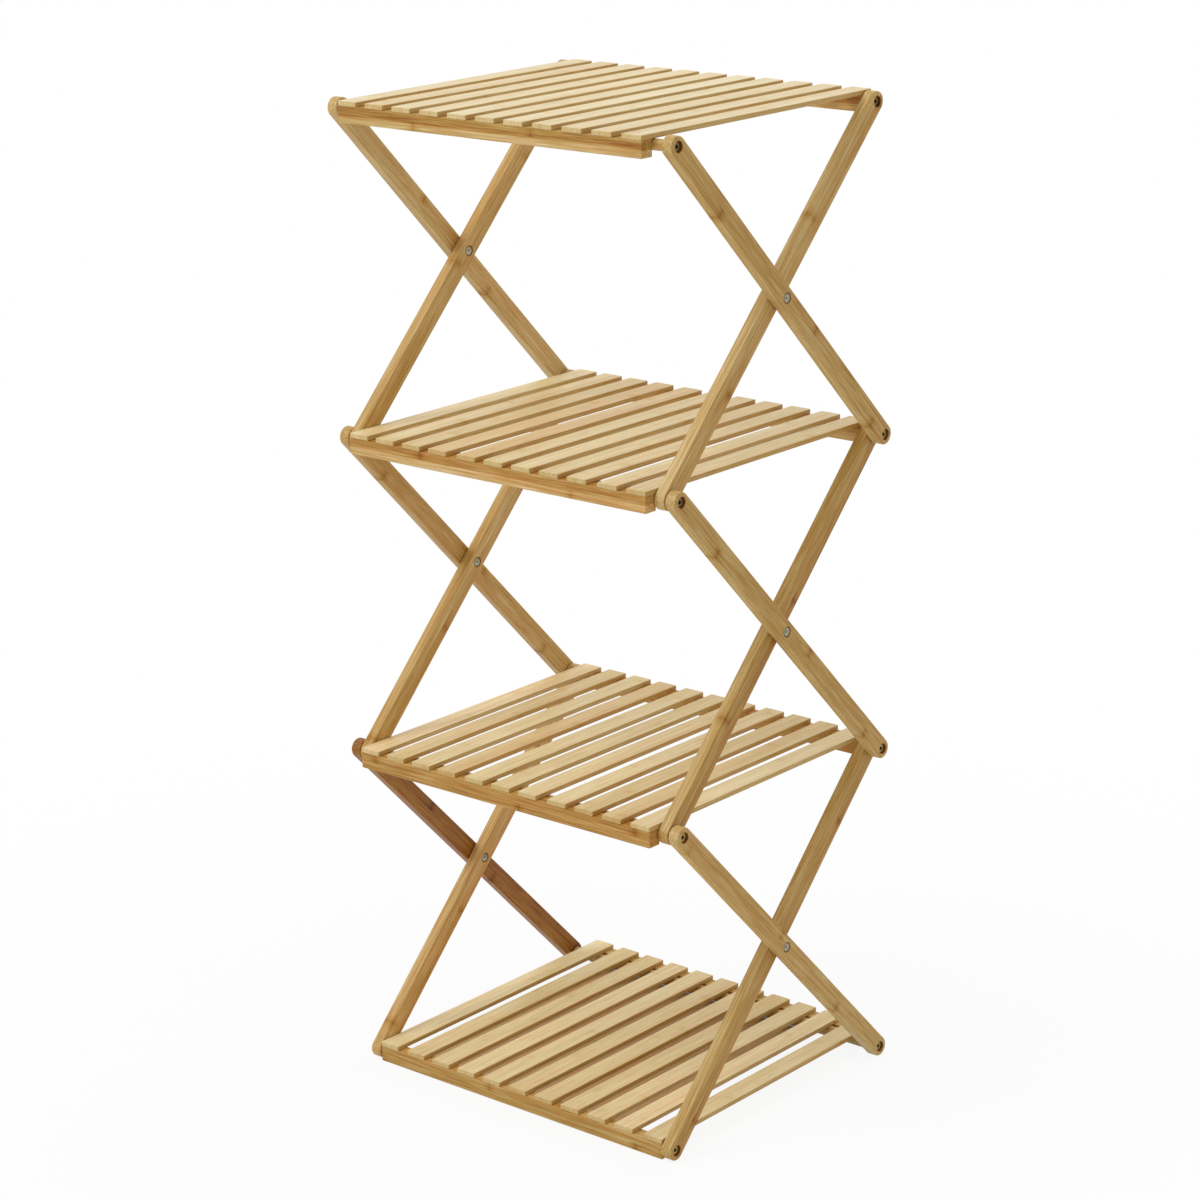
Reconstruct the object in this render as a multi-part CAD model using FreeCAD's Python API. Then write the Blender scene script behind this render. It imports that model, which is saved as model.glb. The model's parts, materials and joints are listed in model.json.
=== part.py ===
import FreeCAD, Part
import math
import os

# A folding shelf in laminated bamboo: four slatted tiers carried, on each side, by three stacked
# pairs of crossing legs. X runs along the rails, Y from front to back, Z up from the floor.
# The origin is on the floor under the middle of the shelf. Sizes are in millimetres.

# Tiers and stages
TIERS = ["top", "upper", "lower", "bottom"]
STAGES = ["top", "middle", "bottom"]
tier_pitch = 300.0
pivot_depth = 294.0

# Slats and rails
slat_count = 11
slat_width = 21.5
slat_gap = 10.75
slat_thickness = 4.5
rail_depth = 14.0
rail_height = 15.0

# Legs and dowels
leg_width = 18.5
leg_thickness = 11.0
dowel_diameter = 10.0

# Corner pivot screws, their heads sunk below the face of the outermost leg
screw_diameter = 4.0
screw_grip = 22.0
screw_head_diameter = 8.6
screw_head_height = 2.4
screw_socket_width = 3.0
screw_socket_depth = 1.6
screw_sink = 2.0

# Plain steel pins where the legs cross, their ends nearly flush with the legs' faces
pin_diameter = 8.8
pin_sink = 0.3

# Gaps between pieces
rail_end_gap = 0.6
leg_gap = 0.8
hook_gap = 0.3
seat_gap = 0.3
head_clearance = 0.4
head_gap = 0.2
turning_clearance = 0.06
blind_end_gap = 1.0

# Stations along X on the right-hand side, from the rail ends outwards
rail_end = (slat_count * slat_width + (slat_count - 1) * slat_gap) / 2
inner_leg_inside = rail_end + rail_end_gap
inner_leg_outside = inner_leg_inside + leg_thickness
outer_leg_inside = inner_leg_outside + leg_gap
outer_leg_outside = outer_leg_inside + leg_thickness

# Heights measured from a tier's pivots: the slats lie on the dowels
slat_underside = dowel_diameter / 2 + seat_gap
rail_drop = rail_height - slat_underside
floor_to_pivot = max(rail_drop, leg_width / 2)

# Bores and recesses; every screw ends at the same station inside its rail or dowel
screw_tip = rail_end - screw_grip
screw_bore = screw_diameter + 2 * turning_clearance
screw_recess = screw_head_diameter + 2 * head_clearance
screw_recess_depth = screw_sink + screw_head_height + head_gap
pin_bore = pin_diameter + 2 * turning_clearance

X_AXIS = FreeCAD.Vector(1, 0, 0)
ORIGIN = FreeCAD.Vector(0, 0, 0)


def pivot_height(tier):
    """Height of a tier's pivots; tier 0 is the top one."""
    return floor_to_pivot + (len(TIERS) - 1 - tier) * tier_pitch


def front_pivot(tier):
    return FreeCAD.Vector(0, -pivot_depth / 2, pivot_height(tier))


def back_pivot(tier):
    return FreeCAD.Vector(0, pivot_depth / 2, pivot_height(tier))


def crossing(stage):
    """Where the legs of a stage cross, half way between two tiers."""
    return (front_pivot(stage) + back_pivot(stage + 1)) * 0.5


def rod(pivot, x_from, x_to, diameter):
    """Round bar along X, centred on a pivot."""
    start = FreeCAD.Vector(x_from, pivot.y, pivot.z)
    return Part.makeCylinder(diameter / 2, x_to - x_from, start, X_AXIS)


def hexagon(pivot, x_from, x_to, width):
    """Six-sided bar along X, centred on a pivot, width across its flats."""
    start = FreeCAD.Vector(x_from, pivot.y, pivot.z)
    corner = FreeCAD.Vector(0, width / math.sqrt(3), 0)
    corners = []
    for side in range(7):
        turned = FreeCAD.Rotation(X_AXIS, 60 * side).multVec(corner)
        corners.append(start + turned)
    return Part.Face(Part.makePolygon(corners)).extrude(X_AXIS * (x_to - x_from))


def board(low, high):
    """Planed board between two corners."""
    size = high - low
    return Part.makeBox(size.x, size.y, size.z, low)


def mirrored(shape):
    """The left-hand twin of a right-hand piece."""
    return shape.mirror(ORIGIN, X_AXIS)


def export(name, solids):
    shape = solids[0] if len(solids) == 1 else Part.makeCompound(solids)
    shape.exportStep("parts/" + name + ".step")


def export_pair(name, shape):
    """One node with the right-hand piece and its left-hand twin."""
    export(name, [shape, mirrored(shape)])


# Legs
def leg_blank(foot, head, inside):
    """Flat bar from one pivot to the other with fully round ends."""
    length = (head - foot).Length
    radius = leg_width / 2
    low_foot = FreeCAD.Vector(0, 0, -radius)
    low_head = FreeCAD.Vector(0, length, -radius)
    high_head = FreeCAD.Vector(0, length, radius)
    high_foot = FreeCAD.Vector(0, 0, radius)
    head_tip = FreeCAD.Vector(0, length + radius, 0)
    foot_tip = FreeCAD.Vector(0, -radius, 0)
    outline = Part.Wire([
        Part.makeLine(low_foot, low_head),
        Part.Arc(low_head, head_tip, high_head).toShape(),
        Part.makeLine(high_head, high_foot),
        Part.Arc(high_foot, foot_tip, low_foot).toShape(),
    ])
    bar = Part.Face(outline).extrude(X_AXIS * leg_thickness)
    lean = math.degrees(math.atan2(head.z - foot.z, head.y - foot.y))
    bar.rotate(ORIGIN, X_AXIS, lean)
    bar.translate(FreeCAD.Vector(inside, foot.y, foot.z))
    return bar


def bored(leg, pivot, bore):
    """A hole right through a leg, free to turn on its pin."""
    return leg.cut(rod(pivot, rail_end, outer_leg_outside, bore))


def counterbored(leg, pivot, outside):
    """A screw hole with a deep round recess for the head in the leg's outer face."""
    recess = rod(pivot, outside - screw_recess_depth, outside, screw_recess)
    return bored(leg, pivot, screw_bore).cut(recess)


def outer_leg(stage):
    """From the front pivot above to the back pivot below, with a screw head sunk at each end."""
    foot = back_pivot(stage + 1)
    head = front_pivot(stage)
    leg = leg_blank(foot, head, outer_leg_inside)
    leg = counterbored(leg, foot, outer_leg_outside)
    leg = counterbored(leg, head, outer_leg_outside)
    return bored(leg, crossing(stage), pin_bore)


def inner_leg(stage):
    """From the back pivot above to the front pivot below; a head is sunk where no outer leg covers it."""
    foot = front_pivot(stage + 1)
    head = back_pivot(stage)
    leg = leg_blank(foot, head, inner_leg_inside)
    is_first = stage == 0
    is_last = stage == len(STAGES) - 1
    leg = counterbored(leg, head, inner_leg_outside) if is_first else bored(leg, head, screw_bore)
    leg = counterbored(leg, foot, inner_leg_outside) if is_last else bored(leg, foot, screw_bore)
    return bored(leg, crossing(stage), pin_bore)


# Shelves
def hinge_side(tier):
    """+1 where a tier turns on its back rail, -1 for the bottom one, which turns on its front rail."""
    return -1 if tier == len(TIERS) - 1 else 1


def hinge_pivot(tier):
    return back_pivot(tier) if hinge_side(tier) > 0 else front_pivot(tier)


def hook_pivot(tier):
    return front_pivot(tier) if hinge_side(tier) > 0 else back_pivot(tier)


def rail(tier, y_one, y_other):
    """Bar across the whole tier between two depths, under the slats."""
    top = pivot_height(tier) + slat_underside
    low = FreeCAD.Vector(-rail_end, min(y_one, y_other), top - rail_height)
    high = FreeCAD.Vector(rail_end, max(y_one, y_other), top)
    return board(low, high)


def hinge_rail_outside(tier):
    return hinge_pivot(tier).y + hinge_side(tier) * rail_depth / 2


def hook_rail_inside(tier):
    return hook_pivot(tier).y - hinge_side(tier) * (dowel_diameter / 2 + hook_gap)


def hook_rail_outside(tier):
    return hook_rail_inside(tier) - hinge_side(tier) * rail_depth


def drilled(shape, pivot, end):
    """Blind hole for a pivot screw in both ends of a rail or dowel that reaches to end."""
    hole = rod(pivot, screw_tip - blind_end_gap, end, screw_bore)
    return shape.cut(hole).cut(mirrored(hole))


def hinge_rail(tier):
    """The rail that is screwed to the inner legs and turns on those screws."""
    outside = hinge_rail_outside(tier)
    bar = rail(tier, outside, outside - hinge_side(tier) * rail_depth)
    return drilled(bar, hinge_pivot(tier), rail_end)


def hook_rail(tier):
    """The loose rail, which drops outside the dowel and keeps the legs from spreading."""
    return rail(tier, hook_rail_inside(tier), hook_rail_outside(tier))


def slats(tier):
    """The boards of a tier, flush with the rails' outer faces and ends."""
    bottom = pivot_height(tier) + slat_underside
    near = min(hinge_rail_outside(tier), hook_rail_outside(tier))
    far = max(hinge_rail_outside(tier), hook_rail_outside(tier))
    boards = []
    for index in range(slat_count):
        left = -rail_end + index * (slat_width + slat_gap)
        low = FreeCAD.Vector(left, near, bottom)
        high = FreeCAD.Vector(left + slat_width, far, bottom + slat_thickness)
        boards.append(board(low, high))
    return boards


def dowel_end(tier):
    """The first and last dowels join the outer legs, the others the inner legs."""
    return outer_leg_inside if tier in (0, len(TIERS) - 1) else inner_leg_inside


def dowel(tier):
    """Round bar between the two sides that the loose rail hooks over."""
    end = dowel_end(tier)
    bar = rod(hook_pivot(tier), -end, end, dowel_diameter)
    return drilled(bar, hook_pivot(tier), end)


# Fasteners
def pivot_screw(pivot, leg_outside):
    """Screw from the recess of the outermost leg inwards, with a six-sided socket in its flat head."""
    face = leg_outside - screw_sink
    seat = face - screw_head_height
    shank = rod(pivot, screw_tip, seat, screw_diameter)
    head = rod(pivot, seat, face, screw_head_diameter)
    socket = hexagon(pivot, face - screw_socket_depth, face, screw_socket_width)
    return shank.fuse(head).removeSplitter().cut(socket)


def hinge_screw(tier):
    """Through the legs at a tier's hinge into the end of its rail."""
    leg_outside = inner_leg_outside if tier in (0, len(TIERS) - 1) else outer_leg_outside
    return pivot_screw(hinge_pivot(tier), leg_outside)


def hook_screw(tier):
    """Through the legs at a tier's hook into the end of its dowel."""
    return pivot_screw(hook_pivot(tier), outer_leg_outside)


def crossing_pin(stage):
    """Through both legs of a side where they cross."""
    return rod(crossing(stage), inner_leg_inside + pin_sink, outer_leg_outside - pin_sink, pin_diameter)


os.makedirs("parts", exist_ok=True)

for tier, name in enumerate(TIERS):
    hinge_at, hook_at = ("back", "front") if hinge_side(tier) > 0 else ("front", "back")
    export(name + "_" + hinge_at + "_rail", [hinge_rail(tier)])
    export(name + "_" + hook_at + "_rail", [hook_rail(tier)])
    export(name + "_slats", slats(tier))
    export(name + "_" + hook_at + "_dowel", [dowel(tier)])
    export_pair(name + "_" + hinge_at + "_screws", hinge_screw(tier))
    export_pair(name + "_" + hook_at + "_screws", hook_screw(tier))

for stage, name in enumerate(STAGES):
    export("right_" + name + "_outer_leg", [outer_leg(stage)])
    export("left_" + name + "_outer_leg", [mirrored(outer_leg(stage))])
    export("right_" + name + "_inner_leg", [inner_leg(stage)])
    export("left_" + name + "_inner_leg", [mirrored(inner_leg(stage))])
    export_pair(name + "_crossing_pins", crossing_pin(stage))
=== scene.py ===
import json
import math
import bmesh
import bpy
import numpy as np
from mathutils import Matrix, Vector


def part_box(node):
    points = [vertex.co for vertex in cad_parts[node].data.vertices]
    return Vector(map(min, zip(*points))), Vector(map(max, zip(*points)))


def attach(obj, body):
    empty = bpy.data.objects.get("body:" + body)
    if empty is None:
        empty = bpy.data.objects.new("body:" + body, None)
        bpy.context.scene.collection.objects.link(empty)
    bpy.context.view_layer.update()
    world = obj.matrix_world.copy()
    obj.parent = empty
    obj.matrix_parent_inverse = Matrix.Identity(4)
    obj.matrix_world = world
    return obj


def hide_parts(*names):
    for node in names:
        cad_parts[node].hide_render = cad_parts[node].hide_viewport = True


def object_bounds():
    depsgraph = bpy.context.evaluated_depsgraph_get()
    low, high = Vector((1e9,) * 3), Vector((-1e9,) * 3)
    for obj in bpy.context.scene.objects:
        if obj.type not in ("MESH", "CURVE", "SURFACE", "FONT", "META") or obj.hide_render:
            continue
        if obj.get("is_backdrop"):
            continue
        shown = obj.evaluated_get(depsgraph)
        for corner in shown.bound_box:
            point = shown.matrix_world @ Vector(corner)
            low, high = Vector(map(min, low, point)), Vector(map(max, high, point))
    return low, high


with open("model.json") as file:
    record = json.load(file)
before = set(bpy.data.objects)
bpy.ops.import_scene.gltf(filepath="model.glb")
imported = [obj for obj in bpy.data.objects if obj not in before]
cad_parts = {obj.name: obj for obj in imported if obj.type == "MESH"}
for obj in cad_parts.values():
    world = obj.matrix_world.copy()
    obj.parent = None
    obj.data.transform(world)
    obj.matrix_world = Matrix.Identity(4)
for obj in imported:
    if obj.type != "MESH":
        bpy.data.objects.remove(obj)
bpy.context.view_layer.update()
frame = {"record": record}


# Slats
# Each tier has thin boards of laminated bamboo, planed, eased along every edge and glued down on two rails.
# No two come from the same stalk, so each has its own paleness, which also carries painted light, and the
# lacquer is satin.
TIERS = ["top", "upper", "lower", "bottom"]
SLAT_COUNT = 11
SLAT_WIDTH = 0.0215
SLAT_EASE = 0.0006
# Each board's paleness is partly its own tone and partly painted light: the top tier is paler as a painted
# sheen at its grazing angle, and single boards are paler or darker for the light and shade that fall on them
SLAT_PALENESS = {
    "top": [0.91, 0.88, 0.93, 0.92, 0.95, 0.92, 0.94, 0.90, 0.89, 0.91, 0.88],
    "upper": [0.92, 0.88, 0.83, 0.82, 0.84, 0.87, 0.87, 0.83, 0.84, 0.88, 0.81],
    "lower": [0.95, 0.82, 0.89, 0.80, 0.87, 0.84, 0.85, 0.85, 0.78, 0.81, 0.89],
    "bottom": [0.92, 0.84, 0.85, 0.90, 0.90, 0.83, 0.81, 0.81, 0.86, 0.93, 0.84],
}
SLAT_WIDER_GAPS = {
    "top": {2: 0.0008, 7: 0.0006},
    "upper": {3: 0.0024, 8: 0.0022},
    "lower": {3: 0.0020, 6: 0.0028, 9: 0.0008},
    "bottom": {0: 0.0016, 9: 0.0024},
}
# Faces turned sideways are painted darker: painted shade, as falls in the gaps between the boards. The cut
# ends are painted a little darker as well
SLAT_SIDE_PAINTED_SHADE = 0.26
SLAT_END_DARKER = 0.10
# A glue line this far across the grain never shows, and a piece starts anywhere in a stalk this long
NO_GLUE_LINE = 9.0
STALK_LENGTH = 40
MERGE_DISTANCE = 1e-6
random_start = np.random.default_rng(41)
record = frame["record"]
home_body = {node: body for body, nodes in record["behaviour"]["bodies"].items() for node in nodes}


def sheet_faces(rows, columns, closed):
    """Quads of a grid of points, row by row. Where closed, the last column joins the first."""
    row = np.arange(rows - 1)[:, None] * columns
    column = np.arange(columns if closed else columns - 1)[None, :]
    after = (column + 1) % columns
    corners = [row + column, row + after, row + columns + after, row + columns + column]
    return np.stack(np.broadcast_arrays(*corners), axis=-1).reshape(-1, 4)


def eased_boards(lows, highs, ease, steps=3):
    """Boards with rounded edges: a small sphere whose eight octants are pulled apart to the corners of a
    box, so point = corner of the inner box + ease * direction. Returns points per board, quads and caps."""
    quarter = np.linspace(0, math.pi / 2, steps + 1)
    turn = np.concatenate([quarter + k * math.pi / 2 for k in range(4)])
    rise = np.concatenate([quarter - math.pi / 2, quarter])
    side_x = np.repeat([1, -1, -1, 1], steps + 1)
    side_y = np.repeat([1, 1, -1, -1], steps + 1)
    side_z = np.repeat([-1, 1], steps + 1)
    turn, rise = np.meshgrid(turn, rise)
    ball = np.stack([np.cos(rise) * np.cos(turn), np.cos(rise) * np.sin(turn), np.sin(rise)], axis=-1)
    octant = np.stack(np.broadcast_arrays(side_x[None, :], side_y[None, :], side_z[:, None]), axis=-1)
    middle = ((lows + highs) / 2)[:, None, None, :]
    inner = ((highs - lows) / 2 - ease)[:, None, None, :]
    points = middle + inner * octant + ease * ball
    rows, columns = turn.shape
    quads = sheet_faces(rows, columns, True)
    caps = np.stack([np.arange(columns), np.arange(columns) + (rows - 1) * columns])
    return points.reshape(len(lows), -1, 3), quads, caps


def sewn_piece(name, points, faces, grain_of, tint_of):
    """Object whose meeting edges are merged and whose faces point outwards. grain_of gives each point's
    place in the wood (along, across, through), and tint_of, which also sees which way the surface faces,
    its paleness below and above a glue line and that line's place across the grain."""
    mesh = bpy.data.meshes.new(name)
    mesh.from_pydata(points.reshape(-1, 3).tolist(), [], faces)
    work = bmesh.new()
    work.from_mesh(mesh)
    bmesh.ops.remove_doubles(work, verts=work.verts, dist=MERGE_DISTANCE)
    bmesh.ops.recalc_face_normals(work, faces=work.faces)
    work.to_mesh(mesh)
    work.free()
    mesh.shade_smooth()
    places = np.empty(len(mesh.vertices) * 3)
    mesh.vertices.foreach_get("co", places)
    places = places.reshape(-1, 3)
    facing = np.empty(len(mesh.vertices) * 3)
    mesh.vertices.foreach_get("normal", facing)
    facing = facing.reshape(-1, 3)
    for label, values in (("grain", grain_of(places)), ("tint", tint_of(places, facing))):
        layer = mesh.attributes.new(label, "FLOAT_VECTOR", "POINT")
        layer.data.foreach_set("vector", values.astype(np.float32).ravel())
    piece = bpy.data.objects.new(name, mesh)
    bpy.context.scene.collection.objects.link(piece)
    piece.modifiers.new("even_flats", "WEIGHTED_NORMAL").keep_sharp = True
    return piece


def stand_for(piece, node, material):
    """The piece takes a node's place: its body and a finish."""
    piece.data.materials.append(material)
    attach(piece, home_body[node])
    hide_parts(node)


class Strand:
    """A value in a material. Arithmetic on strands adds Math nodes, and node() adds any other node."""

    def __init__(self, tree, socket=None):
        self.tree = tree
        self.socket = socket

    def node(self, kind, settings, inputs, output=0):
        made = self.tree.nodes.new(kind)
        for key, value in settings.items():
            if key == "stops":
                self.set_stops(made.color_ramp, value)
            else:
                setattr(made, key, value)
        for key, value in inputs.items():
            if isinstance(value, Strand):
                self.tree.links.new(value.socket, made.inputs[key])
            else:
                made.inputs[key].default_value = value
        return Strand(self.tree, made.outputs[output])

    def set_stops(self, ramp, stops):
        while len(ramp.elements) < len(stops):
            ramp.elements.new(0.5)
        for element, (place, colour) in zip(ramp.elements, stops):
            element.position = place
            element.color = colour

    def math(self, operation, *values):
        return self.node("ShaderNodeMath", {"operation": operation}, dict(enumerate(values)))

    def smooth(self, low, high):
        """0 below low, 1 above high, and a soft rise between them."""
        limits = {"Value": self, "From Min": low, "From Max": high}
        return self.node("ShaderNodeMapRange", {"interpolation_type": "SMOOTHSTEP"}, limits)

    def __add__(self, other):
        return self.math("ADD", self, other)

    def __sub__(self, other):
        return self.math("SUBTRACT", self, other)

    def __rsub__(self, other):
        return self.math("SUBTRACT", other, self)

    def __mul__(self, other):
        return self.math("MULTIPLY", self, other)

    def __truediv__(self, other):
        return self.math("DIVIDE", self, other)

    def __abs__(self):
        return self.math("ABSOLUTE", self)

    __radd__ = __add__
    __rmul__ = __mul__


def linear(red, green, blue):
    """A colour as seen on a screen, 0 to 255, as the light that a material mixes."""
    seen = np.array([red, green, blue]) / 255
    light = np.where(seen <= 0.04045, seen / 12.92, ((seen + 0.055) / 1.055) ** 2.4)
    return (*light.tolist(), 1.0)


# Places on the scale of paleness, from burnt brown to cream
BAMBOO_STOPS = [
    (0.00, linear(90, 47, 10)),
    (0.25, linear(152, 95, 30)),
    (0.50, linear(188, 147, 72)),
    (0.75, linear(214, 188, 129)),
    (1.00, linear(246, 231, 187)),
]
WARM_TINT = (1.0, 0.77, 0.60, 1.0)
WARM_BATCH_SHARE = 0.8
# Waves to the metre along and across the grain, and how many finer layers each pattern has
GRAIN_WAVES = {
    "fibre": (26.0, 900.0, 3.0),
    "streaks": (5.0, 380.0, 2.0),
    "broad": (3.0, 150.0, 2.0),
    "cloud": (12.0, 30.0, 2.0),
    "warm_patch": (2.5, 110.0, 3.0),
    "warm_batch": (0.6, 7.0, 0.0),
    "dashes": (55.0, 1500.0, 1.0),
}
STREAK_SHARES = {"fibre": 2.3, "streaks": 0.9, "broad": 0.6, "cloud": 0.5, "strip": 0.3}
PATCH_EDGES = {"warm_patch": (0.42, 0.66), "warm_batch": (0.48, 0.72), "dashes": (0.58, 0.72)}
DASH_DEPTH = 0.08
# A stalk's growth rings: how far apart, how they wander, and how far off the line and its halo reach
RING_SPACING = 0.31
RING_WANDER = {"cloud": 0.006, "streaks": 0.007}
RING_LINE = (0.0004, 0.0024)
RING_HALO = (0.0015, 0.0090)
RING_LINE_SHARE = 0.6
RING_HALO_SHARE = 0.55
GLUE_FEATHER = 0.0002
GRAIN_RELIEF = 0.0004
GRAIN_RELIEF_STRENGTH = 0.25
RELIEF_SHARE = 0.5
FIBRE_DULLING = 0.25
RING_DULLING = 0.1
LACQUER_SHEEN = 0.26


def bamboo(name, strip, streak, ring_depth, warmth, roughness):
    """Laminated bamboo. Paleness = tint of the board + strips, fibres and streaks - growth rings - dashes,
    and a ramp from burnt brown to cream turns it into a colour, which long patches warm towards red."""
    material = bpy.data.materials.new(name)
    material.use_nodes = True
    tree = material.node_tree
    shader = tree.nodes["Principled BSDF"]
    start = Strand(tree)
    grain = start.node("ShaderNodeAttribute", {"attribute_name": "grain"}, {}, "Vector")
    tint = start.node("ShaderNodeAttribute", {"attribute_name": "tint"}, {}, "Vector")
    along, across = (grain.node("ShaderNodeSeparateXYZ", {}, {0: grain}, axis) for axis in "XY")
    below, above, glue_line = (tint.node("ShaderNodeSeparateXYZ", {}, {0: tint}, axis) for axis in "XYZ")

    def noise(pattern):
        along_waves, across_waves, detail = GRAIN_WAVES[pattern]
        scaled = grain.node("ShaderNodeVectorMath", {"operation": "MULTIPLY"},
                            {0: grain, 1: (along_waves, across_waves, across_waves)})
        return grain.node("ShaderNodeTexNoise", {}, {"Vector": scaled, "Scale": 1.0, "Detail": detail})

    fibre = noise("fibre") - 0.5
    streaks = noise("streaks") - 0.5
    broad = noise("broad") - 0.5
    cloud = noise("cloud") - 0.5
    warm_patch, warm_batch, dashes = (
        noise(pattern).smooth(*edges) for pattern, edges in PATCH_EDGES.items()
    )
    strip_row = (across / strip).math("FLOOR", across / strip)
    strip_lot = grain.node("ShaderNodeTexWhiteNoise", {"noise_dimensions": "1D"}, {"W": strip_row})
    ring_place = along / RING_SPACING + strip_lot
    ring_off = abs(ring_place.math("FRACT", ring_place) - 0.5) * RING_SPACING
    ring_off = ring_off + cloud * RING_WANDER["cloud"] + streaks * RING_WANDER["streaks"]
    ring_line = 1.0 - ring_off.smooth(*RING_LINE)
    ring_halo = 1.0 - ring_off.smooth(*RING_HALO)
    ring = ring_line * RING_LINE_SHARE + ring_halo * (RING_HALO_SHARE + fibre)
    upper_ply = (across - glue_line).smooth(-GLUE_FEATHER, GLUE_FEATHER)
    paleness = below + (above - below) * upper_ply - ring * ring_depth - dashes * DASH_DEPTH
    strips = strip_lot - 0.5
    patterns = {"fibre": fibre, "streaks": streaks, "broad": broad, "cloud": cloud, "strip": strips}
    for pattern, share in STREAK_SHARES.items():
        paleness = paleness + patterns[pattern] * (share * streak)
    plain = paleness.node("ShaderNodeValToRGB", {"stops": BAMBOO_STOPS}, {0: paleness})
    warm = (warm_patch + warm_batch * WARM_BATCH_SHARE) * warmth
    colour = plain.node("ShaderNodeMix", {"data_type": "RGBA", "blend_type": "MULTIPLY"},
                        {0: warm, 6: plain, 7: WARM_TINT}, 2)
    height = fibre + streaks * RELIEF_SHARE - dashes * RELIEF_SHARE - ring_line * RELIEF_SHARE
    bump = start.node("ShaderNodeBump", {},
                      {"Height": height, "Strength": GRAIN_RELIEF_STRENGTH, "Distance": GRAIN_RELIEF})
    tree.links.new(colour.socket, shader.inputs["Base Color"])
    dulled = roughness + fibre * FIBRE_DULLING + ring * RING_DULLING
    tree.links.new(dulled.socket, shader.inputs["Roughness"])
    tree.links.new(bump.socket, shader.inputs["Normal"])
    shader.inputs["Specular IOR Level"].default_value = LACQUER_SHEEN
    return material


slat_bamboo = bamboo("slat_bamboo", strip=0.0107, streak=0.17, ring_depth=0.05, warmth=0.32, roughness=0.38)
for tier in TIERS:
    low, high = (np.array(corner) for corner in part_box(tier + "_slats"))
    lefts = np.linspace(low[0], high[0] - SLAT_WIDTH, SLAT_COUNT)
    gap_extra = np.zeros(SLAT_COUNT - 1)
    gap_extra[list(SLAT_WIDER_GAPS[tier])] = list(SLAT_WIDER_GAPS[tier].values())
    lefts[1:] += np.cumsum(gap_extra - gap_extra.mean())
    lows = np.stack([lefts, np.full(SLAT_COUNT, low[1]), np.full(SLAT_COUNT, low[2])], axis=-1)
    highs = lows + [SLAT_WIDTH, high[1] - low[1], high[2] - low[2]]
    points, quads, caps = eased_boards(lows, highs, SLAT_EASE)
    offsets = np.arange(SLAT_COUNT)[:, None, None] * points.shape[1]
    faces = (quads + offsets).reshape(-1, 4).tolist() + (caps + offsets).reshape(-1, caps.shape[1]).tolist()
    paleness = np.array(SLAT_PALENESS[tier])
    start_in_stalk = random_start.uniform(0, STALK_LENGTH, SLAT_COUNT)

    def slat_number(places):
        return np.abs(places[:, :1] - lefts - SLAT_WIDTH / 2).argmin(axis=1)

    def slat_grain(places):
        number = slat_number(places)
        return np.stack([places[:, 1] + start_in_stalk[number], places[:, 0], places[:, 2]], axis=-1)

    def slat_tint(places, facing):
        own = paleness[slat_number(places)]
        # Painted shade on the sides, set by the way the surface faces; the ends a little darker too
        own = own - SLAT_SIDE_PAINTED_SHADE * np.abs(facing[:, 0]) - SLAT_END_DARKER * np.abs(facing[:, 1])
        return np.stack([own, own, np.full(len(own), NO_GLUE_LINE)], axis=-1)

    piece = sewn_piece(tier + "_slat_boards", points, faces, slat_grain, slat_tint)
    stand_for(piece, tier + "_slats", slat_bamboo)


# Rails
# Under the front and back ends of each tier's slats runs a bar glued up from plies of darker bamboo.
# The plies lie flat, so the front shows one band above another, and the ends are cut square. The rail
# that a tier turns on is drilled in both ends for its pivot screws.
RAIL_EASE = 0.0008
SCREW_BORE = 0.00206
SCREW_HOLE = 0.0230
RAIL_PLIES = {
    "top": (0.69, 0.47, 0.0066),
    "upper": (0.71, 0.54, 0.0074),
    "lower": (0.49, 0.55, 0.0050),
    "bottom": (0.53, 0.57, 0.0050),
}


def drilled_bar(low, high, ease, bore_axis, bore_end, steps=3, runs=5):
    """Rings carried along X: out of one blind hole, over the rounded end, along the bar and into the other
    hole. A ring of the bar is the inner rectangle + (ease - draw) * normal, where draw = ease * (1 - sin)
    while the end sets back by ease * (1 - cos), and a ring of a hole lies on rays from the hole's axis."""
    half = (high - low)[1:] / 2 - ease
    corners = half * np.array([(1, 1), (-1, 1), (-1, -1), (1, -1)])
    bend = np.linspace(0, math.pi / 2, steps + 1)
    run = np.linspace(0, 1, runs + 2)[1:-1, None]
    cores, turns = [], []
    for side in range(4):
        following = corners[(side + 1) % 4]
        cores += [np.tile(corners[side], (steps + 1, 1)), corners[side] + run * (following - corners[side])]
        turns += [bend + side * math.pi / 2, np.full(runs, (side + 1) * math.pi / 2)]
    core = np.concatenate(cores) + (low + high)[1:] / 2
    turn = np.concatenate(turns)
    normal = np.column_stack([np.cos(turn), np.sin(turn)])
    ray = core - bore_axis
    hole = bore_axis + SCREW_BORE * ray / np.linalg.norm(ray, axis=1, keepdims=True)
    centre = np.broadcast_to(bore_axis, core.shape)
    ends = core + ease * np.sin(bend)[:, None, None] * normal
    setback = ease * (1 - np.cos(bend))
    rings = np.concatenate([[centre, hole, hole], ends, ends[::-1], [hole, hole, centre]])
    stations = np.concatenate([[-bore_end, -bore_end, low[0]], low[0] + setback, high[0] - setback[::-1],
                               [high[0], bore_end, bore_end]])
    station = np.broadcast_to(stations[:, None, None], rings.shape[:2] + (1,))
    return np.concatenate([station, rings], axis=-1)


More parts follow.
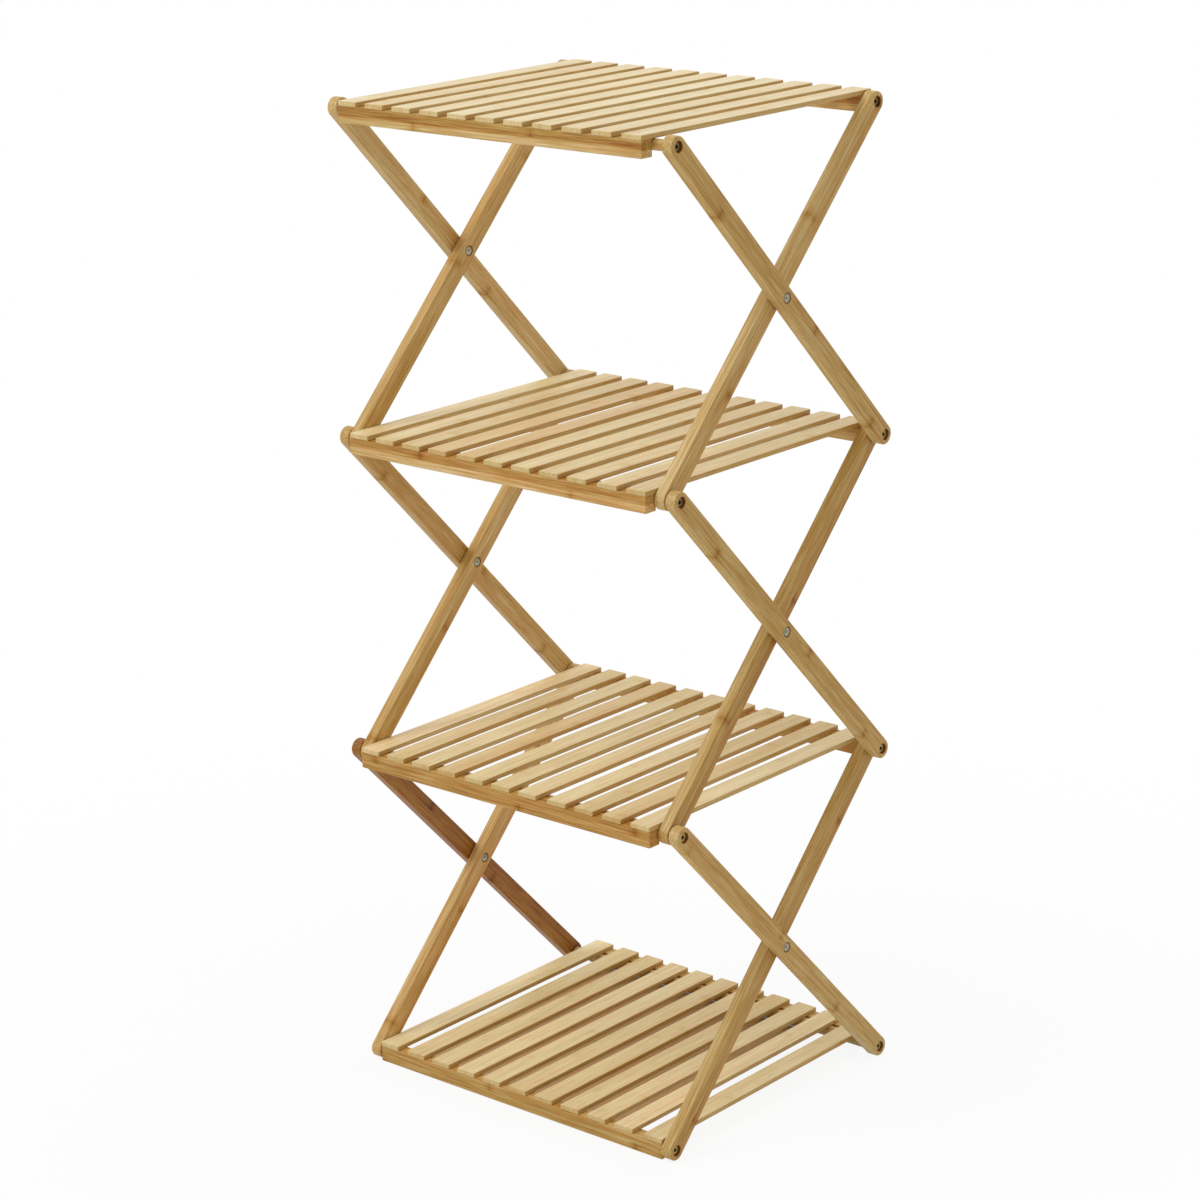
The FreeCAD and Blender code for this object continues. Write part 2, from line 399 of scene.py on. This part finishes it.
rail_bamboo = bamboo("rail_bamboo", strip=0.0075, streak=0.36, ring_depth=0.16, warmth=0.70, roughness=0.45)
for tier in TIERS:
    for end in ("front", "back"):
        node = f"{tier}_{end}_rail"
        low, high = (np.array(corner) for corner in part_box(node))
        if end == ("front" if tier == "bottom" else "back"):
            screw_low, screw_high = (np.array(corner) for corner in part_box(f"{tier}_{end}_screws"))
            bore_axis = (screw_low + screw_high)[1:] / 2
            points = drilled_bar(low, high, RAIL_EASE, bore_axis, high[0] - SCREW_HOLE)
            faces = sheet_faces(*points.shape[:2], True).tolist()
        else:
            points, quads, caps = eased_boards(low[None, :], high[None, :], RAIL_EASE)
            faces = quads.tolist() + caps.tolist()
        below, above, ply_height = RAIL_PLIES[tier]
        start_in_stalk = random_start.uniform(0, STALK_LENGTH)

        def rail_grain(places):
            return np.stack([places[:, 0] + start_in_stalk, places[:, 2] - low[2], places[:, 1]], axis=-1)

        def rail_tint(places, facing):
            return np.broadcast_to([below, above, ply_height], places.shape)

        piece = sewn_piece(f"{tier}_{end}_rail_bar", points, faces, rail_grain, rail_tint)
        stand_for(piece, node, rail_bamboo)


# Legs
# Flat bamboo bars with fully round ends, bored for the pivots and eased all round their outlines.
# Screw heads sit in deep recesses, and a steel pin passes through both legs where they cross.
LEG_WIDTH = 0.0185
LEG_EASE = 0.0012
# The rounded rims of the right legs are painted paler, a painted highlight where they catch the light, and
# those of the left legs a little darker, painted shade
LEG_EDGE_PAINTED_LIGHT_AND_SHADE = {"right": 0.11, "left": -0.03}
LEG_WARMTH = {"right": 0.25, "left": 0.55}
# Inside every hole and recess, and in a thin ring round its rim, the leg is painted darker: painted shade in
# the hollows
HOLE_PAINTED_SHADE = 0.44
HOLE_PAINTED_SHADE_WIDTH = 0.0007
RIM_EASE = 0.0002
SCREW_RECESS = 0.0047
SCREW_RECESS_DEPTH = 0.0046
PIN_BORE = 0.00446
ROUND_STEPS = 48
ROUND_OVER_STEPS = 5
LEG_PALENESS = {
    "right_top_outer_leg": 0.55,
    "right_middle_outer_leg": 0.54,
    "right_bottom_outer_leg": 0.57,
    "right_top_inner_leg": 0.61,
    "right_middle_inner_leg": 0.47,
    "right_bottom_inner_leg": 0.49,
    "left_top_outer_leg": 0.69,
    "left_middle_outer_leg": 0.62,
    "left_bottom_outer_leg": 0.31,
    "left_top_inner_leg": 0.60,
    "left_middle_inner_leg": 0.64,
    "left_bottom_inner_leg": 0.69,
}


def hole_profile(thickness, bore, recess, recess_depth):
    """Depths and radii of a hole from the leg's outer face (depth = thickness) to its inner face (0)."""
    if recess is None:
        wide = [(thickness, bore + RIM_EASE), (thickness - RIM_EASE, bore)]
    else:
        floor = thickness - recess_depth
        wide = [
            (thickness, recess + RIM_EASE),
            (thickness - RIM_EASE, recess),
            (floor, recess),
            (floor, bore),
        ]
    return np.array(wide + [(RIM_EASE, bore), (0.0, bore + RIM_EASE)])


def leg_sheets(length, thickness, profiles):
    """Grids of points (along, across, depth) that cover a leg: a rounded rim carried round the outline, the
    holes, and on each face a ring from every hole out to the square round it and strips between squares."""
    radius = LEG_WIDTH / 2
    flat = radius - LEG_EASE
    turn = np.arange(ROUND_STEPS) * 2 * math.pi / ROUND_STEPS
    circle = np.stack([np.cos(turn), np.sin(turn)], axis=-1)
    square = circle / np.abs(circle).max(axis=1, keepdims=True)
    centres = [0.0, length / 2, length]
    borders = [
        np.where(circle[:, :1] < 0, circle, square),
        square,
        np.where(circle[:, :1] > 0, circle, square),
    ]
    sheets = []
    for face_depth, profile_row in ((thickness, 0), (0.0, -1)):
        for centre, border, profile in zip(centres, borders, profiles):
            rim = profile[profile_row, 1]
            rings = np.stack([circle * rim, circle * (rim + HOLE_PAINTED_SHADE_WIDTH), border * flat])
            depth = np.full(rings.shape[:2] + (1,), face_depth)
            sheets.append((np.concatenate([rings + [centre, 0.0], depth], axis=-1), True))
        spread = np.tan(np.linspace(-math.pi / 4, math.pi / 4, ROUND_STEPS // 4 + 1)) * flat
        for near, far in ((flat, length / 2 - flat), (length / 2 + flat, length - flat)):
            run, side = np.meshgrid([near, far], spread, indexing="ij")
            sheets.append((np.stack([run, side, np.full(run.shape, face_depth)], axis=-1), False))
    for centre, profile in zip(centres, profiles):
        rings = circle[None, :, :] * profile[:, 1][:, None, None] + [centre, 0.0]
        depth = np.broadcast_to(profile[:, 0][:, None, None], rings.shape[:2] + (1,))
        sheets.append((np.concatenate([rings, depth], axis=-1), True))
    sheets.append((leg_rim(length, thickness, flat), True))
    return sheets


def leg_rim(length, thickness, flat):
    """The outline's points at the face rings' own stations, drawn in by ease * (1 - sin) while the depth
    falls by ease * (1 - cos), for both faces."""
    radius = LEG_WIDTH / 2
    eighth = np.linspace(0, math.pi / 4, ROUND_STEPS // 8 + 1)
    half_side = np.tan(eighth) * flat
    stations = np.concatenate([half_side, length / 2 - half_side[::-1], length / 2 + half_side[1:],
                               length - half_side[::-1]])
    half_turn = np.linspace(math.pi / 2, 3 * math.pi / 2, ROUND_STEPS // 2 + 1)[1:-1]
    foot = np.stack([np.zeros(len(half_turn)), np.cos(half_turn), np.sin(half_turn)], axis=-1)
    head = np.stack([np.full(len(half_turn), length), -np.cos(half_turn), -np.sin(half_turn)], axis=-1)
    lower = np.stack([stations, np.zeros(len(stations)), np.full(len(stations), -1.0)], axis=-1)
    upper = np.stack([stations[::-1], np.zeros(len(stations)), np.full(len(stations), 1.0)], axis=-1)
    outline = np.concatenate([foot, lower, head, upper])
    round_over = np.linspace(0, math.pi / 2, ROUND_OVER_STEPS)
    drawn_in = LEG_EASE * (1 - np.sin(round_over))
    sunk = LEG_EASE * (1 - np.cos(round_over))
    drawn_in = np.concatenate([drawn_in, drawn_in[::-1]])[:, None]
    depth = np.concatenate([thickness - sunk, sunk[::-1]])[:, None]
    along = outline[None, :, 0] + (radius - drawn_in) * outline[None, :, 1]
    across = (radius - drawn_in) * outline[None, :, 2]
    return np.stack([along, across, np.broadcast_to(depth, along.shape)], axis=-1)


leg_bamboo = {
    side: bamboo(side + "_leg_bamboo", strip=0.0124, streak=0.33, ring_depth=0.17, warmth=warmth,
                 roughness=0.44)
    for side, warmth in LEG_WARMTH.items()
}
for leg in LEG_PALENESS:
    side, stage, layer, _ = leg.split("_")
    low, high = (np.array(corner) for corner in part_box(leg))
    thickness = high[0] - low[0]
    front = low[1] + LEG_WIDTH / 2
    back = high[1] - LEG_WIDTH / 2
    foot = np.array([back if layer == "outer" else front, low[2] + LEG_WIDTH / 2])
    head = np.array([front if layer == "outer" else back, high[2] - LEG_WIDTH / 2])
    length = np.linalg.norm(head - foot)
    along_leg = (head - foot) / length
    across_leg = np.array([-along_leg[1], along_leg[0]])
    plain = hole_profile(thickness, SCREW_BORE, None, None)
    sunk = hole_profile(thickness, SCREW_BORE, SCREW_RECESS, SCREW_RECESS_DEPTH)
    pinned = hole_profile(thickness, PIN_BORE, None, None)
    foot_hole = sunk if layer == "outer" or stage == "bottom" else plain
    head_hole = sunk if layer == "outer" or stage == "top" else plain
    sheets = leg_sheets(length, thickness, [foot_hole, pinned, head_hole])
    points, faces, count = [], [], 0
    for grid, closed in sheets:
        rows, columns = grid.shape[:2]
        faces += (sheet_faces(rows, columns, closed) + count).tolist()
        points.append(grid.reshape(-1, 3))
        count += rows * columns
    local = np.concatenate(points)
    place = foot + local[:, :1] * along_leg + local[:, 1:2] * across_leg
    reach = low[0] + local[:, 2] if side == "right" else high[0] - local[:, 2]
    start_in_stalk = random_start.uniform(0, STALK_LENGTH)

    def leg_grain(places):
        away = places[:, 1:] - foot
        return np.stack([away @ along_leg + start_in_stalk, away @ across_leg, places[:, 0]], axis=-1)

    def leg_tint(places, facing):
        away = places[:, 1:] - foot
        off_hole = np.full(len(places), 1.0)
        for centre, profile in zip((0.0, length / 2, length), (foot_hole, pinned, head_hole)):
            off_axis = np.hypot(away @ along_leg - centre, away @ across_leg)
            off_hole = np.minimum(off_hole, off_axis - profile[0, 1])
        # Painted highlight or shade on the rims, by side, where the surface does not face sideways
        own = LEG_PALENESS[leg] + LEG_EDGE_PAINTED_LIGHT_AND_SHADE[side] * (1 - np.abs(facing[:, 0]))
        # Painted shade in the holes, the recesses and a thin ring round each rim
        own = own - HOLE_PAINTED_SHADE * (off_hole < HOLE_PAINTED_SHADE_WIDTH / 2)
        return np.stack([own, own, np.full(len(own), NO_GLUE_LINE)], axis=-1)

    piece = sewn_piece(leg + "_bar", np.column_stack([reach, place]), faces, leg_grain, leg_tint)
    stand_for(piece, leg, leg_bamboo[side])


# Cross dowels
# Round bamboo rods between the two sides. The loose rail of each tier hooks over one of them.
# They are turned, sanded and left pale, with their ends eased and drilled for the pivot screws.
DOWEL_EASE = 0.0006
DOWEL_PALENESS = 0.68
DOWEL_STEPS = 40


def turned(profile, steps):
    """A profile of (station, radius) rows carried round the X axis."""
    turn = np.arange(steps) * 2 * math.pi / steps
    ring = np.stack([np.cos(turn), np.sin(turn)], axis=-1)
    swept = profile[:, 1][:, None, None] * ring[None, :, :]
    station = np.broadcast_to(profile[:, 0][:, None, None], swept.shape[:2] + (1,))
    return np.concatenate([station, swept], axis=-1)


rail_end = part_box("top_front_rail")[1][0]
dowel_bamboo = bamboo("dowel_bamboo", strip=0.0040, streak=0.20, ring_depth=0.06, warmth=0.35,
                      roughness=0.48)
for node in ("top_front_dowel", "upper_front_dowel", "lower_front_dowel", "bottom_back_dowel"):
    low, high = (np.array(corner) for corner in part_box(node))
    radius = (high[2] - low[2]) / 2
    axis = (low + high) / 2
    hole_end = rail_end - SCREW_HOLE
    profile = np.array([
        (-hole_end, 0.0),
        (-hole_end, SCREW_BORE),
        (low[0], SCREW_BORE),
        (low[0], radius - DOWEL_EASE),
        (low[0] + DOWEL_EASE, radius),
        (high[0] - DOWEL_EASE, radius),
        (high[0], radius - DOWEL_EASE),
        (high[0], SCREW_BORE),
        (hole_end, SCREW_BORE),
        (hole_end, 0.0),
    ])
    grid = turned(profile, DOWEL_STEPS) + [0.0, axis[1], axis[2]]
    faces = sheet_faces(len(profile), DOWEL_STEPS, True).tolist()
    start_in_stalk = random_start.uniform(0, STALK_LENGTH)

    def dowel_grain(places):
        return np.stack([places[:, 0] + start_in_stalk, places[:, 2], places[:, 1]], axis=-1)

    def dowel_tint(places, facing):
        return np.broadcast_to([DOWEL_PALENESS, DOWEL_PALENESS, NO_GLUE_LINE], places.shape)

    piece = sewn_piece(node + "_rod", grid, faces, dowel_grain, dowel_tint)
    stand_for(piece, node, dowel_bamboo)


# Corner pivot screws
# Zinc-plated steel screws pass through the legs into the ends of the rails and dowels. Their flat heads
# lie deep in the legs' recesses, each with a six-sided socket, and only the inner end is threaded.
# The socket is painted black and the head's edge dark: painted shade of the deep recess. Some pairs carry
# painted shade over the whole head as well
SCREW_RADIUS = 0.0020
SCREW_HEAD_RADIUS = 0.0043
SCREW_HEAD_HEIGHT = 0.0024
SCREW_HEAD_EASE = 0.0004
HEAD_EASE_MIDDLE = 0.3 * SCREW_HEAD_EASE
SCREW_GRIP = 0.022
SOCKET_WIDTH = 0.0030
SOCKET_DEPTH = 0.0016
SOCKET_RIM = 0.0002
SOCKET_RIM_WIDTH = 0.0003
HEAD_EDGE_PAINTED_SHADE = 0.75
THREAD_PITCH = 0.0014
THREAD_DEPTH = 0.0004
THREAD_LENGTH = 0.018
THREAD_STEPS = 5
TIP_LENGTH = 0.001
TIP_RADIUS = 0.0012
SCREW_STEPS = 36
# Painted shade over the whole head, for the pairs that sit in more shade
SCREW_PAIR_PAINTED_SHADE = {"top_front_screws": 0.52, "top_back_screws": 0.45, "upper_front_screws": 0.50}


def screw_sheet(face, tip):
    """Rings round the X axis from the middle of the socket, over the head and down the shank to the tip.
    A six-sided ring has radius = half width / cos(angle from the middle of its side), and the thread's
    radius falls by a triangle wave of (station / pitch - turn)."""
    turn = np.arange(SCREW_STEPS) * 2 * math.pi / SCREW_STEPS
    six_sided = 1 / np.cos(np.mod(turn, math.pi / 3) - math.pi / 6)
    even = np.ones(SCREW_STEPS)
    half = SOCKET_WIDTH / 2
    seat = face - SCREW_HEAD_HEIGHT
    rings = [
        (face - SOCKET_DEPTH, 0.0 * even),
        (face - SOCKET_DEPTH, half * six_sided),
        (face - SOCKET_RIM, half * six_sided),
        (face, (half + SOCKET_RIM_WIDTH) * six_sided),
        (face, (SCREW_HEAD_RADIUS - SCREW_HEAD_EASE) * even),
        (face - HEAD_EASE_MIDDLE, (SCREW_HEAD_RADIUS - HEAD_EASE_MIDDLE) * even),
        (face - SCREW_HEAD_EASE, SCREW_HEAD_RADIUS * even),
        (seat, SCREW_HEAD_RADIUS * even),
        (seat, SCREW_RADIUS * even),
    ]
    stations = np.arange(tip + THREAD_LENGTH, tip + TIP_LENGTH, -THREAD_PITCH / THREAD_STEPS)
    phase = stations[:, None] / THREAD_PITCH - turn[None, :] / (2 * math.pi)
    wave = np.abs(2 * np.mod(phase, 1.0) - 1)
    threaded = SCREW_RADIUS - THREAD_DEPTH * wave
    station = np.concatenate([[ring[0] for ring in rings], stations, [tip, tip]])
    radius = np.concatenate([[ring[1] for ring in rings], threaded, [TIP_RADIUS * even, 0.0 * even]])
    around = np.stack([radius * np.cos(turn), radius * np.sin(turn)], axis=-1)
    station = np.broadcast_to(station[:, None, None], around.shape[:2] + (1,))
    return np.concatenate([station, around], axis=-1)


# The colour of painted shade on the steel
PAINTED_SHADE_COLOUR = linear(26, 22, 18)
CLOUDED_SHADE = 0.25
TURNING_RINGS = 9000.0
TURNING_RELIEF = 0.00005
TURNING_RELIEF_STRENGTH = 0.2
TURNING_DULLING = 0.15
CLOUDS = 700.0
CLOUD_SHARE = 0.5
CLOUD_DULLING = 0.1


def steel(name, colour, roughness):
    """Turned, plated steel: fine rings round the axis in the gloss, a little cloudy, and darkened towards
    black where tinted, as painted shade.
    """
    material = bpy.data.materials.new(name)
    material.use_nodes = True
    tree = material.node_tree
    shader = tree.nodes["Principled BSDF"]
    start = Strand(tree)
    grain = start.node("ShaderNodeAttribute", {"attribute_name": "grain"}, {}, "Vector")
    tint = start.node("ShaderNodeAttribute", {"attribute_name": "tint"}, {}, "Vector")
    painted_shade = tint.node("ShaderNodeSeparateXYZ", {}, {0: tint}, "X")
    radius = grain.node("ShaderNodeSeparateXYZ", {}, {0: grain}, "X")
    rings = start.node("ShaderNodeTexNoise", {"noise_dimensions": "1D"},
                       {"W": radius * TURNING_RINGS, "Scale": 1.0})
    place = start.node("ShaderNodeTexCoord", {}, {}, "Object")
    cloud = start.node("ShaderNodeTexNoise", {}, {"Vector": place, "Scale": CLOUDS, "Detail": 2.0})
    dark = tuple(CLOUDED_SHADE * part for part in colour[:3]) + (1.0,)
    clouded = cloud * CLOUD_SHARE
    cloudy = start.node("ShaderNodeMix", {"data_type": "RGBA"}, {0: clouded, 6: colour, 7: dark}, 2)
    painted_shade_mix = start.node("ShaderNodeMix", {"data_type": "RGBA"}, {0: painted_shade, 6: cloudy, 7: PAINTED_SHADE_COLOUR}, 2)
    bump = start.node("ShaderNodeBump", {},
                      {"Height": rings, "Strength": TURNING_RELIEF_STRENGTH, "Distance": TURNING_RELIEF})
    tree.links.new(painted_shade_mix.socket, shader.inputs["Base Color"])
    dulled = roughness + rings * TURNING_DULLING + cloud * CLOUD_DULLING
    tree.links.new(dulled.socket, shader.inputs["Roughness"])
    tree.links.new(bump.socket, shader.inputs["Normal"])
    shader.inputs["Metallic"].default_value = 1.0
    return material


def pair_of_turned(name, grid, axis, painted_shade_of):
    """A right-hand turned piece and its mirrored twin on the same axis, as one piece."""
    shown = grid + [0.0, axis[1], axis[2]]
    points = np.concatenate([shown.reshape(-1, 3), (shown * [-1.0, 1.0, 1.0]).reshape(-1, 3)])
    quads = sheet_faces(grid.shape[0], grid.shape[1], True)
    faces = np.concatenate([quads, quads + len(points) // 2]).tolist()

    def turned_grain(places):
        off_axis = places[:, 1:] - axis[1:]
        return np.column_stack([np.linalg.norm(off_axis, axis=1), places[:, 0], np.arctan2(*off_axis.T)])

    def turned_tint(places, facing):
        painted_shade = painted_shade_of(np.abs(places[:, 0]), np.linalg.norm(places[:, 1:] - axis[1:], axis=1))
        return np.column_stack([painted_shade, painted_shade, painted_shade])

    return sewn_piece(name, points, faces, turned_grain, turned_tint)


screw_steel = steel("screw_steel", colour=linear(196, 174, 110), roughness=0.34)
screw_tip = rail_end - SCREW_GRIP
for tier in TIERS:
    for end in ("front", "back"):
        node = f"{tier}_{end}_screws"
        low, high = (np.array(corner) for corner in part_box(node))
        face = high[0]
        pair_painted_shade = SCREW_PAIR_PAINTED_SHADE.get(node, 0.0)

        def head_painted_shade(station, off_axis):
            """Painted shade: black in the socket, dark along the head's edge, and elsewhere as much as this
            pair is given.
            """
            in_socket = (station < face - 0.5 * SOCKET_RIM) & (off_axis < 0.6 * SOCKET_WIDTH)
            painted_shade = np.where(off_axis > SCREW_HEAD_RADIUS - 0.2 * SCREW_HEAD_EASE, HEAD_EDGE_PAINTED_SHADE, pair_painted_shade)
            return np.where(in_socket, 1.0, painted_shade)

        piece = pair_of_turned(node + "_turned", screw_sheet(face, screw_tip), (low + high) / 2, head_painted_shade)
        stand_for(piece, node, screw_steel)


# Crossing pins
# A plain steel pin joins the two legs where they cross, almost flush with them. Each end is rolled over
# into a narrow rim round a shallow dish, with painted shade in the dish's foot, in the groove inside the rim
# and along the rim's edge.
PIN_RIM = 0.0010
PIN_EASE = 0.0004
PIN_DISH = 0.0008
PIN_CENTRE = 0.0010
PIN_STEPS = 40
# Painted shade in the groove, along the rim's edge and in the middle of the dish
GROOVE_PAINTED_SHADE = 0.5
GROOVE_WIDTH = 0.0004
RIM_PAINTED_SHADE = 0.85
CENTRE_PAINTED_SHADE = 0.7
CENTRE_PAINTED_SHADE_REACH = 1.6
pin_steel = steel("pin_steel", colour=linear(198, 190, 162), roughness=0.26)
for stage in ("top", "middle", "bottom"):
    node = stage + "_crossing_pins"
    low, high = (np.array(corner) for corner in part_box(node))
    radius = (high[2] - low[2]) / 2
    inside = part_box(f"right_{stage}_inner_leg")[0][0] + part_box(f"right_{stage}_outer_leg")[1][0] - high[0]
    bend = np.linspace(0, math.pi / 2, ROUND_OVER_STEPS)
    rim = np.column_stack([high[0] - PIN_EASE * (1 - np.cos(bend)), radius - PIN_EASE * (1 - np.sin(bend))])
    dish = [
        (high[0] - PIN_DISH, 0.0),
        (high[0] - PIN_DISH, 0.7 * PIN_CENTRE),
        (high[0] - PIN_DISH, PIN_CENTRE),
        (high[0] - 0.6 * PIN_DISH, 2 * PIN_CENTRE),
        (high[0] - 0.3 * PIN_DISH, radius - PIN_RIM - PIN_EASE),
        (high[0] - 0.1 * PIN_DISH, radius - PIN_RIM),
    ]
    outer_half = np.concatenate([dish, rim])
    inner_half = outer_half[::-1] * [-1.0, 1.0] + [high[0] + inside, 0.0]
    grid = turned(np.concatenate([outer_half, inner_half]), PIN_STEPS)

    def dish_painted_shade(station, off_axis):
        centre = np.clip(CENTRE_PAINTED_SHADE_REACH - off_axis / PIN_CENTRE, 0, CENTRE_PAINTED_SHADE)
        off_groove = np.abs(off_axis - (radius - PIN_RIM - PIN_EASE))
        groove = np.clip(1 - off_groove / GROOVE_WIDTH, 0, 1) * GROOVE_PAINTED_SHADE
        edge = np.clip((off_axis - (radius - 2 * PIN_EASE)) / PIN_EASE, 0, 1) * RIM_PAINTED_SHADE
        return np.maximum(np.maximum(centre, groove), edge)

    piece = pair_of_turned(node + "_turned", grid, (low + high) / 2, dish_painted_shade)
    stand_for(piece, node, pin_steel)


# Camera, light and floor
# A long lens looks down a little on the right-hand front corner, as in the photograph. A wide soft lamp
# stands high at the front left and a weaker one behind. All round the object is white, apart from a faint
# shadow and the shade on the floor under the bottom tier, whose warm tone is painted bounce light.
FRAME_PIXELS = 1200
SENSOR_WIDTH = 36.0
CLIP_END = 100.0
FOCAL_PIXELS = 3390
AZIMUTH = math.radians(40.26)
ELEVATION = math.radians(16.38)
ROLL = math.radians(-0.90)
DISTANCE = 3.115
SIDESTEP = -0.0154
LIFT = 0.0164
AIM_HEIGHT = 0.4597
PRINCIPAL_ROW = 576
scene = bpy.context.scene
scene.view_settings.view_transform = "Standard"
camera = bpy.data.objects.new("camera", bpy.data.cameras.new("camera"))
scene.collection.objects.link(camera)
scene.camera = camera
camera.data.sensor_width = SENSOR_WIDTH
camera.data.lens = FOCAL_PIXELS / FRAME_PIXELS * SENSOR_WIDTH
camera.data.shift_y = -(FRAME_PIXELS / 2 - PRINCIPAL_ROW) / FRAME_PIXELS
camera.data.clip_end = CLIP_END
backward = np.array([math.sin(AZIMUTH) * math.cos(ELEVATION), -math.cos(AZIMUTH) * math.cos(ELEVATION),
                     math.sin(ELEVATION)])
rightward = np.array([math.cos(AZIMUTH), math.sin(AZIMUTH), 0.0])
upward = np.cross(backward, rightward)
rolled_right = math.cos(ROLL) * rightward + math.sin(ROLL) * upward
rolled_up = -math.sin(ROLL) * rightward + math.cos(ROLL) * upward
stand = DISTANCE * backward + SIDESTEP * rightward + LIFT * upward + [0.0, 0.0, AIM_HEIGHT]
pose = np.eye(4)
pose[:3, 0], pose[:3, 1], pose[:3, 2], pose[:3, 3] = rolled_right, rolled_up, backward, stand
camera.matrix_world = Matrix(pose.tolist())

AMBIENT = 0.60
WHITE = (1.0, 1.0, 1.0, 1.0)


def shown_backdrop(strand):
    """1 for rays from the camera and for those that steel or glass sends on, 0 for rays that only light."""
    seen, mirrored, passed = (
        strand.node("ShaderNodeLightPath", {}, {}, ray)
        for ray in ("Is Camera Ray", "Is Glossy Ray", "Is Transmission Ray")
    )
    return seen.math("MAXIMUM", seen, mirrored.math("MAXIMUM", mirrored, passed))


world = bpy.data.worlds.new("white_studio")
scene.world = world
world.use_nodes = True
sky_strength = shown_backdrop(Strand(world.node_tree)) * (1 - AMBIENT) + AMBIENT
backdrop = world.node_tree.nodes["Background"]
backdrop.inputs["Color"].default_value = WHITE
world.node_tree.links.new(sky_strength.socket, backdrop.inputs["Strength"])

LAMP_AIM = (0.0, 0.0, 0.5)


def round_lamp(name, place, width, power):
    """A round soft lamp that faces the middle of the object."""
    lamp = bpy.data.objects.new(name, bpy.data.lights.new(name, "AREA"))
    lamp.data.shape = "DISK"
    lamp.data.size = width
    lamp.data.energy = power
    lamp.location = place
    lamp.rotation_euler = (Vector(LAMP_AIM) - lamp.location).to_track_quat("-Z", "Y").to_euler()
    scene.collection.objects.link(lamp)


round_lamp("key_lamp", place=(-1.5, -2.2, 3.4), width=2.2, power=55.0)
round_lamp("back_lamp", place=(0.2, 2.6, 1.8), width=1.6, power=27.0)

FLOOR_HALF = 30.0
FLOOR_DROP = 0.0005
FLOOR_ROUGHNESS = 0.9
FLOOR_PALE = (0.86, 0.86, 0.86, 1.0)
# Painted warm bounce light from the bamboo, as the floor's colour under the bottom tier
FLOOR_PAINTED_WARM_BOUNCE = linear(228, 194, 146)
FLOOR_SHOWN = 0.90
FLOOR_FADE = (0.25, 1.1)
SHADE_MIDDLE = (-0.025, 0.017)
SHADE_HALF = (0.129, 0.142)
SHADE_FEATHER = 0.012
floor_mesh = bpy.data.meshes.new("floor")
corners = np.array([(-1, -1), (1, -1), (1, 1), (-1, 1)]) * FLOOR_HALF
floor_mesh.from_pydata(np.column_stack([corners, np.full(4, -FLOOR_DROP)]).tolist(), [], [(0, 1, 2, 3)])
floor = bpy.data.objects.new("floor", floor_mesh)
scene.collection.objects.link(floor)
floor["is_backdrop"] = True
floor_paint = bpy.data.materials.new("floor_paint")
floor_paint.use_nodes = True
floor_tree = floor_paint.node_tree
paint = Strand(floor_tree)
matte = floor_tree.nodes["Principled BSDF"]
matte.inputs["Roughness"].default_value = FLOOR_ROUGHNESS
glow = paint.node("ShaderNodeEmission", {}, {"Color": WHITE, "Strength": 1.0})
lit = Strand(floor_tree, matte.outputs["BSDF"])
spot = paint.node("ShaderNodeTexCoord", {}, {}, "Object")
spot_x, spot_y = (spot.node("ShaderNodeSeparateXYZ", {}, {0: spot}, axis) for axis in "XY")
off_x = abs(spot_x - SHADE_MIDDLE[0]) - SHADE_HALF[0]
off_y = abs(spot_y - SHADE_MIDDLE[1]) - SHADE_HALF[1]
open_floor = spot_x.math("MAXIMUM", off_x, off_y).smooth(-SHADE_FEATHER, SHADE_FEATHER)
# Under the bottom tier the floor's colour is warm: painted bounce light over the real shade there
tone = paint.node("ShaderNodeMix", {"data_type": "RGBA"}, {0: open_floor, 6: FLOOR_PAINTED_WARM_BOUNCE, 7: FLOOR_PALE}, 2)
floor_tree.links.new(tone.socket, matte.inputs["Base Color"])
far_off = spot.node("ShaderNodeVectorMath", {"operation": "LENGTH"}, {0: spot}, "Value").smooth(*FLOOR_FADE)
whiteness = far_off * (1 - FLOOR_SHOWN) + FLOOR_SHOWN
glowing = shown_backdrop(paint) * open_floor * whiteness
mixed = paint.node("ShaderNodeMixShader", {}, {0: glowing, 1: lit, 2: glow})
floor_tree.links.new(mixed.socket, floor_tree.nodes["Material Output"].inputs["Surface"])
floor_mesh.materials.append(floor_paint)

low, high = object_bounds()
